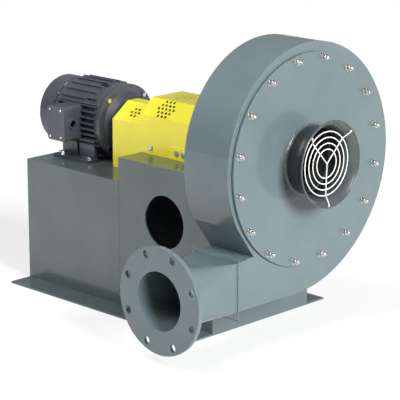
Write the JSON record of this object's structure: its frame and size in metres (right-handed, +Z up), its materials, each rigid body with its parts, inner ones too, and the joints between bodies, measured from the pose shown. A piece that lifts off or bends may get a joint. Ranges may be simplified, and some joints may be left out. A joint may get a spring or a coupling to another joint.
{
  "type": "industrial blower",
  "caption": "High-pressure radial blower: scroll housing with belled inlet and flanged outlet, overhung wheel in pillow blocks, jaw coupling, finned foot motor, stepped pedestal.",
  "frame": {"origin": "at floor level, in the middle of the four outer foundation bolt holes", "axes": "+X along the shaft from the motor toward the inlet, -Y the way the outlet blows, +Z up"},
  "size_m": [1.0257, 0.782, 0.775],
  "materials": {
    "housing_paint": "gloss",
    "pedestal_paint": "gloss",
    "gasket_rubber": "matte",
    "zinc_hardware": "satin",
    "guard_wire": "satin",
    "seal_felt": "matte",
    "wheel_steel": "satin",
    "machined_steel": "satin",
    "dark_iron": "matte",
    "block_paint": "satin",
    "spider_rubber": "matte",
    "motor_paint": "satin",
    "core_steel": "matte",
    "winding_copper": "satin",
    "fan_plastic": "matte",
    "guard_paint": "gloss"
  },
  "bodies": {
    "stand_and_housing": {"scroll_wrap": "housing_paint", "scroll_back_plate": "housing_paint", "scroll_front_plate": "housing_paint", "cutoff_plate": "housing_paint", "outlet_transition": "housing_paint", "outlet_flange": "housing_paint", "cover_gasket": "gasket_rubber", "inlet_cover_plate": "housing_paint", "inlet_bell": "housing_paint", "inlet_cone": "housing_paint", "inlet_wire_guard": "guard_wire", "cover_studs": "zinc_hardware", "cover_washers": "zinc_hardware", "cover_nuts": "zinc_hardware", "shaft_seal_plate": "zinc_hardware", "shaft_seal_felt": "seal_felt", "bearing_block_fan_end": "block_paint", "bearing_block_drive_end": "block_paint", "bearing_outer_rings": "machined_steel", "bearing_block_bolts": "zinc_hardware", "motor_frame": "motor_paint", "motor_stator": "core_steel", "motor_windings": "winding_copper", "motor_drive_endbell": "motor_paint", "motor_fan_endbell": "motor_paint", "motor_fan_cover": "motor_paint", "motor_endbell_bolts": "zinc_hardware", "motor_foot_bolts": "zinc_hardware", "conduit_box": "motor_paint", "conduit_box_lid": "motor_paint", "coupling_guard": "guard_paint", "bearing_guard": "guard_paint", "guard_access_tab": "guard_paint", "guard_brackets": "zinc_hardware", "guard_screws": "zinc_hardware", "motor_base_top": "pedestal_paint", "motor_base_walls": "pedestal_paint", "bearing_base_top": "pedestal_paint", "bearing_base_front_wall": "pedestal_paint", "bearing_base_back_wall": "pedestal_paint", "bearing_base_end_walls": "pedestal_paint"},
    "fan_rotor": {"wheel_backplate": "wheel_steel", "wheel_shroud": "wheel_steel", "wheel_blades": "wheel_steel", "wheel_hub": "dark_iron", "wheel_hub_bolts": "zinc_hardware", "wheel_end_washer": "zinc_hardware", "wheel_end_bolt": "zinc_hardware", "fan_shaft": "machined_steel", "fan_shaft_keys": "machined_steel", "fan_bearing_inner_rings": "machined_steel", "coupling_hub_fan": "dark_iron", "coupling_spider": "spider_rubber"},
    "motor_rotor_set": {"motor_rotor": "core_steel", "motor_shaft": "machined_steel", "motor_shaft_key": "machined_steel", "motor_bearing_inner_rings": "machined_steel", "motor_cooling_fan": "fan_plastic", "coupling_hub_motor": "dark_iron"},
    "ball_sets": {"bearing_balls": "machined_steel"}
  },
  "joints": [
    {"name": "fan_spin", "type": "hinge", "parent": "stand_and_housing", "child": "fan_rotor", "pos_m": [0, 0, 0.47], "axis": [1, 0, 0], "continuous": true},
    {"name": "motor_spin", "type": "hinge", "parent": "stand_and_housing", "child": "motor_rotor_set", "pos_m": [0, 0, 0.47], "axis": [1, 0, 0], "continuous": true},
    {"name": "ball_spin", "type": "hinge", "parent": "stand_and_housing", "child": "ball_sets", "pos_m": [0, 0, 0.47], "axis": [1, 0, 0], "continuous": true}
  ],
  "couplings": [
    {"joint": "motor_spin", "follows": "fan_spin", "ratio": 1},
    {"joint": "ball_spin", "follows": "fan_spin", "ratio": 0.398}
  ]
}
